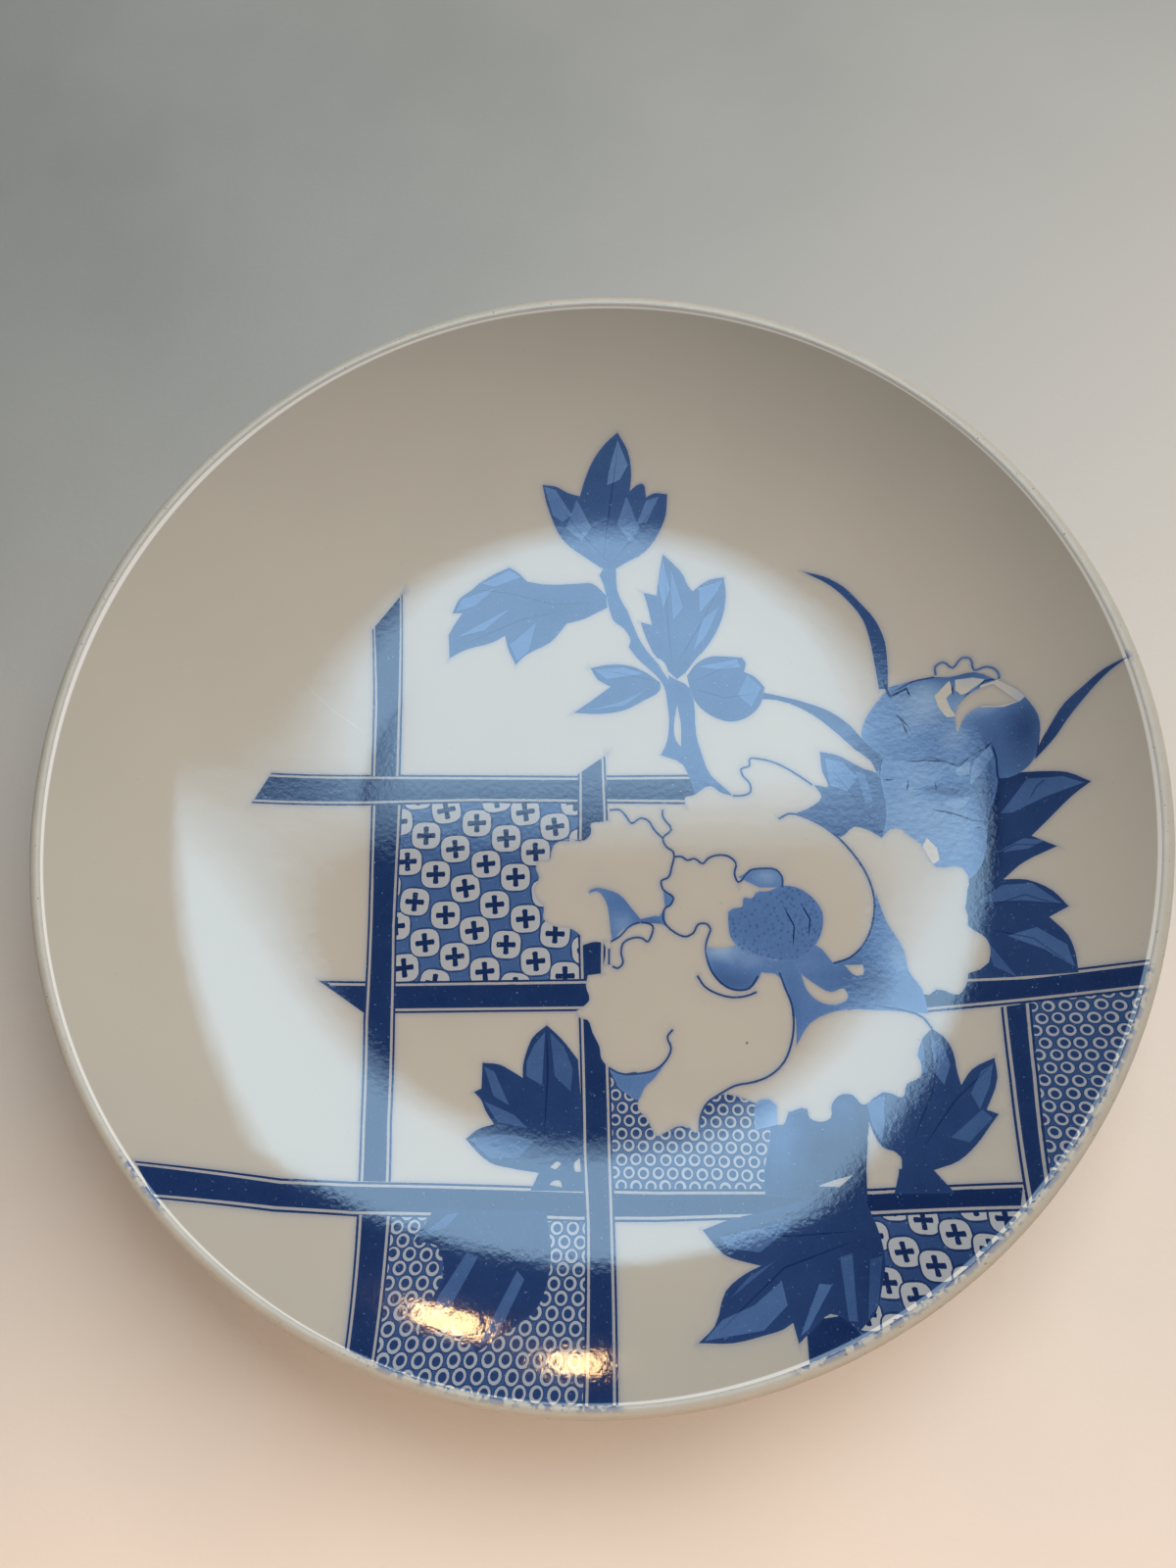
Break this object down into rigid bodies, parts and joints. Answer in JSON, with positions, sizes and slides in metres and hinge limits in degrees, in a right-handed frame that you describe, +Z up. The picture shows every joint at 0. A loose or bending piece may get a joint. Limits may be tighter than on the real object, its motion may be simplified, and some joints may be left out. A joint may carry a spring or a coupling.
{
  "type": "dinner plate",
  "caption": "Deep round coupe porcelain plate on a turned foot ring, with underglaze cobalt fence, diaper panels, peony, bud and leaves.",
  "frame": {"origin": "centre of the foot ring's resting edge, on the surface the plate stands on", "axes": "+Z up through the plate's centre; +Y towards the top of the decoration, +X to its right"},
  "size_m": [0.305, 0.305, 0.0456],
  "materials": {
    "porcelain": "fired porcelain body under the glaze",
    "bare_foot": "bare matt clay, toasted orange-brown by the kiln, with grit marks",
    "clear_glaze": "glossy clear glaze with a faint grey-blue cast, orange peel, pinholes and knife scratches",
    "lip_glaze": "glossy glaze worn thin over the lip, warm grey-beige with brown pinholes",
    "cobalt_dark": "dark cobalt under glossy glaze, mottled",
    "cobalt_leaf": "cobalt in two tones under glossy glaze",
    "cobalt_printed": "printed cobalt diaper pattern under glossy glaze",
    "cobalt_line": "cobalt pen line under glossy glaze, slightly bled",
    "cobalt_wash": "thin graded cobalt wash under glossy glaze"
  },
  "bodies": {
    "root": {"porcelain_body": "porcelain", "foot_ring": "bare_foot", "front_glaze": "clear_glaze", "lip_glaze": "lip_glaze", "back_glaze": "clear_glaze", "foot_well_glaze": "clear_glaze", "cobalt_fence_posts": "cobalt_dark", "cobalt_fence_rails": "cobalt_dark", "cobalt_cross_panels": "cobalt_printed", "cobalt_ring_panels": "cobalt_printed", "cobalt_peony_lines": "cobalt_line", "cobalt_peony_heart": "cobalt_wash", "cobalt_peony_wash": "cobalt_wash", "cobalt_bud": "cobalt_wash", "cobalt_calyx": "cobalt_wash", "cobalt_blades": "cobalt_line", "cobalt_branch": "cobalt_leaf", "cobalt_sprig_leaves": "cobalt_leaf", "cobalt_right_leaves": "cobalt_dark", "cobalt_centre_leaves": "cobalt_dark", "cobalt_lower_leaves": "cobalt_dark", "cobalt_hanging_leaf": "cobalt_dark"}
  },
  "joints": []
}
